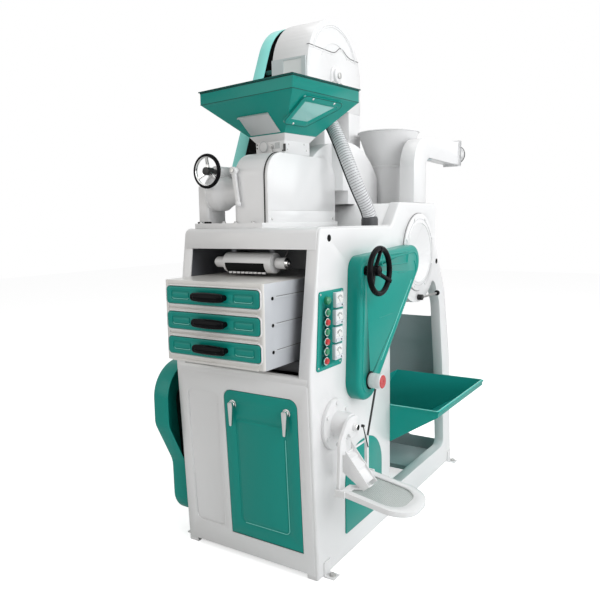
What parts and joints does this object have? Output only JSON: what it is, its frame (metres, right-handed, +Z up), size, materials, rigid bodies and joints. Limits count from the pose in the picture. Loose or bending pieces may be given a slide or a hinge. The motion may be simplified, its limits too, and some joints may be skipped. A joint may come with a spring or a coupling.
{
  "type": "rice huller",
  "caption": "Combined rice huller and mill with hopper, bucket elevator, husk fan, separator drawers and whitener in a white and teal steel cabinet",
  "frame": {"origin": "On the floor, at the centre of the four foot-bolt holes", "axes": "X to the machine's right, Y to its rear, Z up"},
  "size_m": [1.1237, 1.842, 2.3109],
  "materials": {
    "white_paint": "gloss white enamel",
    "teal_paint": "gloss teal enamel",
    "grey_paint": "semi-gloss grey enamel",
    "chromed_steel": "bright chrome",
    "black_gloss": "moulded black",
    "machined_steel": "machined",
    "roll_rubber": "moulded rubber on steel",
    "belt_rubber": "matte",
    "clear_hose": "clear plastic with a wire helix",
    "clear_pane": "clear pane",
    "instrument_plastic": "satin plate with moulded meters",
    "green_button": "moulded green",
    "red_button": "moulded red"
  },
  "bodies": {
    "frame": {"right_side_panel": "white_paint", "left_side_panel": "white_paint", "front_panel": "white_paint", "top_deck": "white_paint", "foot_brackets": "white_paint", "feed_spreader": "white_paint", "huller_housing": "white_paint", "huller_side_cover": "white_paint", "huller_bearing_housing": "white_paint", "hopper_neck": "white_paint", "elevator_legs": "white_paint", "elevator_boot": "white_paint", "elevator_head": "white_paint", "husk_duct": "white_paint", "fan_casing": "white_paint", "fan_cover": "white_paint", "rear_funnel": "white_paint", "fan_outlet_elbow": "white_paint", "whitener_housing": "white_paint", "outlet_chute": "white_paint", "screen_trough": "white_paint", "feed_hopper": "teal_paint", "elevator_belt_guard": "teal_paint", "right_belt_guard": "teal_paint", "left_belt_guard": "teal_paint", "intake_tray": "teal_paint", "inspection_cover": "teal_paint", "motor": "teal_paint", "rear_panel": "grey_paint", "floor_plate": "grey_paint", "separator_bed": "grey_paint", "drive_belts": "belt_rubber", "grain_hose": "clear_hose", "sight_window": "clear_pane", "control_panel": "instrument_plastic"},
    "sieve_box": {"sieve_box": "white_paint"},
    "drawer_upper": {"drawer_upper": "teal_paint"},
    "drawer_middle": {"drawer_middle": "teal_paint"},
    "drawer_lower": {"drawer_lower": "teal_paint"},
    "spreader_shaft": {"spreader_shaft": "chromed_steel"},
    "tension_handwheel": {"tension_handwheel": "black_gloss"},
    "gap_handwheel": {"gap_handwheel": "black_gloss"},
    "engaging_lever": {"engaging_lever": "white_paint"},
    "feed_gate": {"feed_gate": "grey_paint"},
    "pressure_knob": {"pressure_knob": "white_paint"},
    "front_door": {"front_door": "teal_paint"},
    "latch_left": {"latch_left": "chromed_steel"},
    "latch_right": {"latch_right": "chromed_steel"},
    "fixed_roll": {"fixed_roll": "roll_rubber"},
    "moving_roll": {"moving_roll": "roll_rubber"},
    "fan_impeller": {"fan_impeller": "machined_steel"},
    "whitener_roller": {"whitener_roller": "machined_steel"},
    "elevator_head_pulley": {"elevator_head_pulley": "machined_steel"},
    "air_lever": {"air_lever": "machined_steel"},
    "push_button_1": {"push_button_1": "green_button"},
    "push_button_2": {"push_button_2": "red_button"},
    "push_button_3": {"push_button_3": "green_button"},
    "push_button_4": {"push_button_4": "red_button"},
    "push_button_5": {"push_button_5": "green_button"},
    "push_button_6": {"push_button_6": "red_button"}
  },
  "joints": [
    {"name": "separator_shake", "type": "slide", "parent": "frame", "child": "sieve_box", "axis": [1, 0, 0], "range_m": [-0.006, 0.006]},
    {"name": "drawer_upper_slide", "type": "slide", "parent": "sieve_box", "child": "drawer_upper", "axis": [0, -1, 0], "range_m": [0, 0.42]},
    {"name": "drawer_middle_slide", "type": "slide", "parent": "sieve_box", "child": "drawer_middle", "axis": [0, -1, 0], "range_m": [0, 0.42]},
    {"name": "drawer_lower_slide", "type": "slide", "parent": "sieve_box", "child": "drawer_lower", "axis": [0, -1, 0], "range_m": [0, 0.42]},
    {"name": "spreader_turn", "type": "hinge", "parent": "frame", "child": "spreader_shaft", "pos_m": [0, -0.661, 1.202], "axis": [1, 0, 0], "continuous": true},
    {"name": "tension_wheel_turn", "type": "hinge", "parent": "frame", "child": "tension_handwheel", "pos_m": [0.447, -0.46, 1.166], "axis": [1, 0, 0], "continuous": true},
    {"name": "gap_wheel_turn", "type": "hinge", "parent": "frame", "child": "gap_handwheel", "pos_m": [-0.216, -0.679, 1.568], "axis": [0, 1, 0], "continuous": true},
    {"name": "engaging_lever_turn", "type": "hinge", "parent": "frame", "child": "engaging_lever", "pos_m": [-0.104, -0.645, 1.566], "axis": [0, 1, 0], "range_deg": [-70, 12]},
    {"name": "feed_gate_slide", "type": "slide", "parent": "frame", "child": "feed_gate", "axis": [-0.0965, -0.7334, 0.6729], "range_m": [0, 0.08]},
    {"name": "pressure_knob_turn", "type": "hinge", "parent": "frame", "child": "pressure_knob", "pos_m": [0.4155, -0.426, 0.722], "axis": [1, 0, 0], "continuous": true},
    {"name": "front_door_swing", "type": "hinge", "parent": "frame", "child": "front_door", "pos_m": [0.093, -0.74832, 0.10647], "axis": [1, 0, 0], "range_deg": [0, 90]},
    {"name": "latch_left_turn", "type": "hinge", "parent": "front_door", "child": "latch_left", "pos_m": [-0.034, -0.77771, 0.65418], "axis": [0, -0.9988, -0.0499], "range_deg": [0, 90]},
    {"name": "latch_right_turn", "type": "hinge", "parent": "front_door", "child": "latch_right", "pos_m": [0.22, -0.77771, 0.65418], "axis": [0, -0.9988, -0.0499], "range_deg": [0, 90]},
    {"name": "fixed_roll_spin", "type": "hinge", "parent": "frame", "child": "fixed_roll", "pos_m": [0, -0.445, 1.5], "axis": [1, 0, 0], "continuous": true},
    {"name": "moving_roll_spin", "type": "hinge", "parent": "frame", "child": "moving_roll", "pos_m": [0, -0.29, 1.5], "axis": [1, 0, 0], "continuous": true},
    {"name": "fan_spin", "type": "hinge", "parent": "frame", "child": "fan_impeller", "pos_m": [0.135, 0.218, 1.204], "axis": [1, 0, 0], "continuous": true},
    {"name": "whitener_spin", "type": "hinge", "parent": "frame", "child": "whitener_roller", "pos_m": [0, -0.618, 0.587], "axis": [1, 0, 0], "continuous": true},
    {"name": "elevator_spin", "type": "hinge", "parent": "frame", "child": "elevator_head_pulley", "pos_m": [-0.163, 0.097, 2.053], "axis": [1, 0, 0], "continuous": true},
    {"name": "air_lever_swing", "type": "hinge", "parent": "frame", "child": "air_lever", "pos_m": [0.339, 0.22, 0.985], "axis": [1, 0, 0], "range_deg": [-25, 25]},
    {"name": "push_button_1_press", "type": "slide", "parent": "frame", "child": "push_button_1", "axis": [-1, 0, 0], "range_m": [0, 0.004], "stiffness_N_per_m": 400},
    {"name": "push_button_2_press", "type": "slide", "parent": "frame", "child": "push_button_2", "axis": [-1, 0, 0], "range_m": [0, 0.004], "stiffness_N_per_m": 400},
    {"name": "push_button_3_press", "type": "slide", "parent": "frame", "child": "push_button_3", "axis": [-1, 0, 0], "range_m": [0, 0.004], "stiffness_N_per_m": 400},
    {"name": "push_button_4_press", "type": "slide", "parent": "frame", "child": "push_button_4", "axis": [-1, 0, 0], "range_m": [0, 0.004], "stiffness_N_per_m": 400},
    {"name": "push_button_5_press", "type": "slide", "parent": "frame", "child": "push_button_5", "axis": [-1, 0, 0], "range_m": [0, 0.004], "stiffness_N_per_m": 400},
    {"name": "push_button_6_press", "type": "slide", "parent": "frame", "child": "push_button_6", "axis": [-1, 0, 0], "range_m": [0, 0.004], "stiffness_N_per_m": 400}
  ],
  "couplings": [
    {"joint": "moving_roll_spin", "follows": "fixed_roll_spin", "ratio": -0.76}
  ]
}
